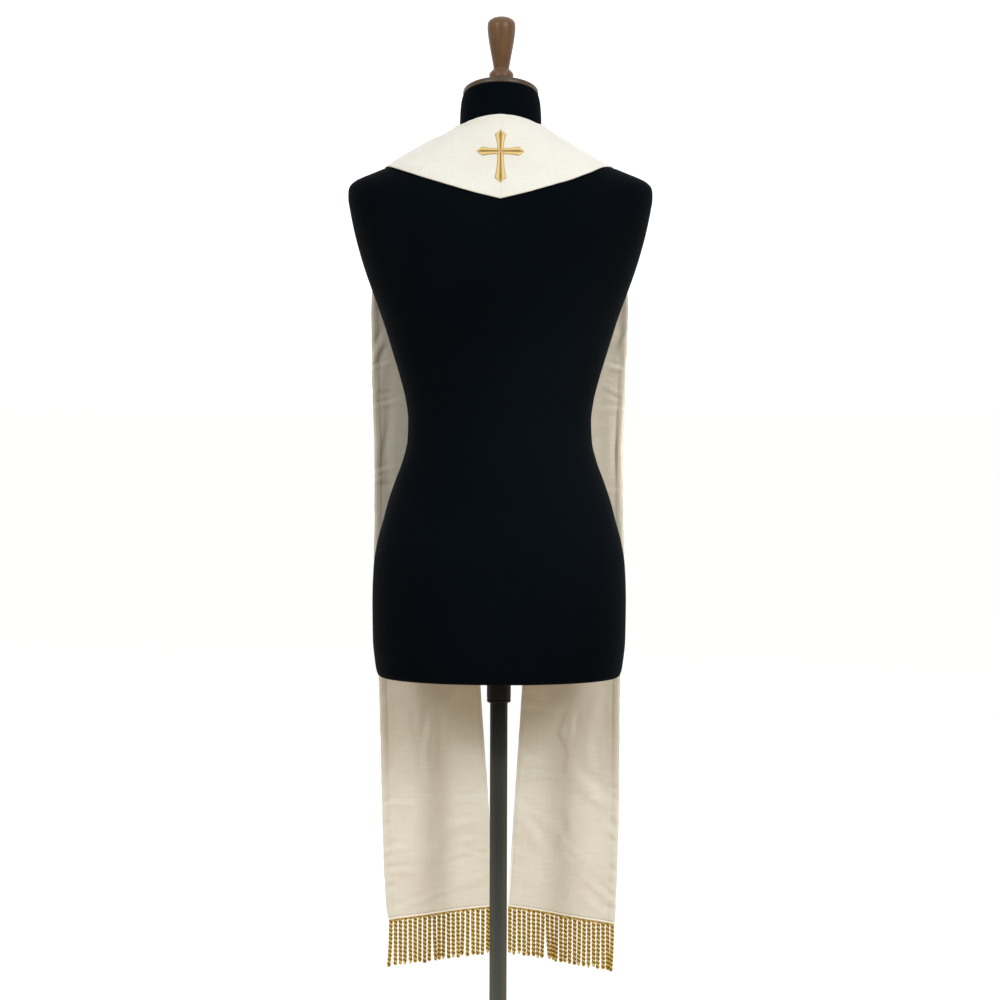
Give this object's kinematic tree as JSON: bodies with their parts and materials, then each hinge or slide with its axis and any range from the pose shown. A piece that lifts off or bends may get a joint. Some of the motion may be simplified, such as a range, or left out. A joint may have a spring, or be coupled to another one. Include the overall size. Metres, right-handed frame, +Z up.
{
  "type": "clerical stole on dress form",
  "caption": "Ivory woven stole with a V-shaped back, gold embroidered cross and bullion fringe, hung over a black limbless dress form on a pole and round base",
  "frame": {"origin": "Centre of the base's underside, on the axis of the pole, on the surface it stands on", "axes": "+Z up along the pole, -Y the way the wearer would face, so the yoke and cross face +Y, +X the wearer's left"},
  "size_m": [0.3938, 0.33, 1.5762],
  "materials": {
    "stole_cloth": "ivory woven cloth with a slight slub",
    "lining_cloth": "plain beige lining",
    "gold_thread": "shiny gold thread",
    "form_jersey": "fine matt black jersey",
    "stained_wood": "stained turned wood, satin",
    "pole_steel": "satin gunmetal",
    "black_metal": "satin black"
  },
  "bodies": {
    "root": {"stole_left": "stole_cloth", "stole_right": "stole_cloth", "lining_left": "lining_cloth", "lining_right": "lining_cloth", "embroidered_cross": "gold_thread", "fringe_left": "gold_thread", "fringe_right": "gold_thread", "form_body": "form_jersey", "neck_cap": "stained_wood", "finial": "stained_wood", "collar": "black_metal", "pole": "pole_steel", "base": "black_metal"}
  },
  "joints": []
}
